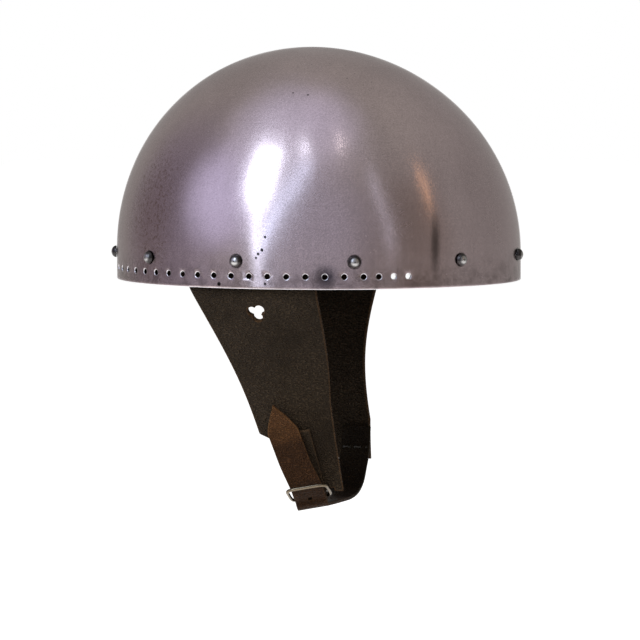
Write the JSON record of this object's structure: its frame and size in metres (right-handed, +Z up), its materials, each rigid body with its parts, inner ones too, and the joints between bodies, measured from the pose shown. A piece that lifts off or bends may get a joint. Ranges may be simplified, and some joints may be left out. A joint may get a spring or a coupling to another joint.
{
  "type": "cervelliere helmet",
  "caption": "Close-fitting steel skull cap with a row of dome rivets, lacing holes for a mail curtain, laced leather lining, leather cheek flaps and a buckled chin strap.",
  "frame": {"origin": "centre of the plane of the bowl's lower rim", "axes": "+Z up to the crown, -Y towards the wearer's face, -X towards the wearer's right, the side with the buckle"},
  "size_m": [0.2052, 0.2341, 0.2586],
  "materials": {
    "helmet_steel": "burnished sheet steel, softly mirrored, with drawn streaks and small stains",
    "rivet_steel": "domed steel, worn bright on top",
    "washer_steel": "plain cut steel",
    "lining_leather": "matt undyed leather",
    "lace_leather": "thin leather lace",
    "flap_leather": "dark oiled leather, raw lighter edges",
    "strap_leather": "brown oiled leather, lighter worn edges",
    "buckle_steel": "bent wire, worn grey",
    "stitching_thread": "waxed thread"
  },
  "bodies": {
    "helmet": {"helmet_bowl": "helmet_steel", "liner": "lining_leather", "liner_lace": "lace_leather", "rivet_01": "rivet_steel", "rivet_02": "rivet_steel", "rivet_03": "rivet_steel", "rivet_04": "rivet_steel", "rivet_05": "rivet_steel", "rivet_06": "rivet_steel", "rivet_07": "rivet_steel", "rivet_08": "rivet_steel", "rivet_09": "rivet_steel", "rivet_10": "rivet_steel", "rivet_11": "rivet_steel", "rivet_washer_01": "washer_steel", "rivet_washer_02": "washer_steel", "rivet_washer_03": "washer_steel", "rivet_washer_04": "washer_steel", "rivet_washer_05": "washer_steel", "rivet_washer_06": "washer_steel", "rivet_washer_07": "washer_steel", "rivet_washer_08": "washer_steel", "rivet_washer_09": "washer_steel", "rivet_washer_10": "washer_steel", "rivet_washer_11": "washer_steel"},
    "harness": {"cheek_flap_right": "flap_leather", "cheek_flap_left": "flap_leather", "buckle_chape": "flap_leather", "chape_rivet_lower": "rivet_steel", "chape_rivet_upper": "rivet_steel", "chin_strap": "strap_leather", "strap_stitching": "stitching_thread"},
    "buckle_frame": {"buckle_frame": "buckle_steel"},
    "buckle_tongue": {"buckle_tongue": "buckle_steel"}
  },
  "joints": [
    {"name": "harness_swing", "type": "hinge", "parent": "helmet", "child": "harness", "pos_m": [0, 0.02533, 0.015], "axis": [1, 0, 0], "range_deg": [-6, 6]},
    {"name": "buckle_frame_hinge", "type": "hinge", "parent": "harness", "child": "buckle_frame", "pos_m": [-0.0439, -0.0052, -0.1202], "axis": [0.0757, -0.9804, 0.1817], "range_deg": [0, 150]},
    {"name": "buckle_tongue_hinge", "type": "hinge", "parent": "harness", "child": "buckle_tongue", "pos_m": [-0.0439, -0.0052, -0.1202], "axis": [0.0757, -0.9804, 0.1817], "range_deg": [-2, 5]}
  ]
}
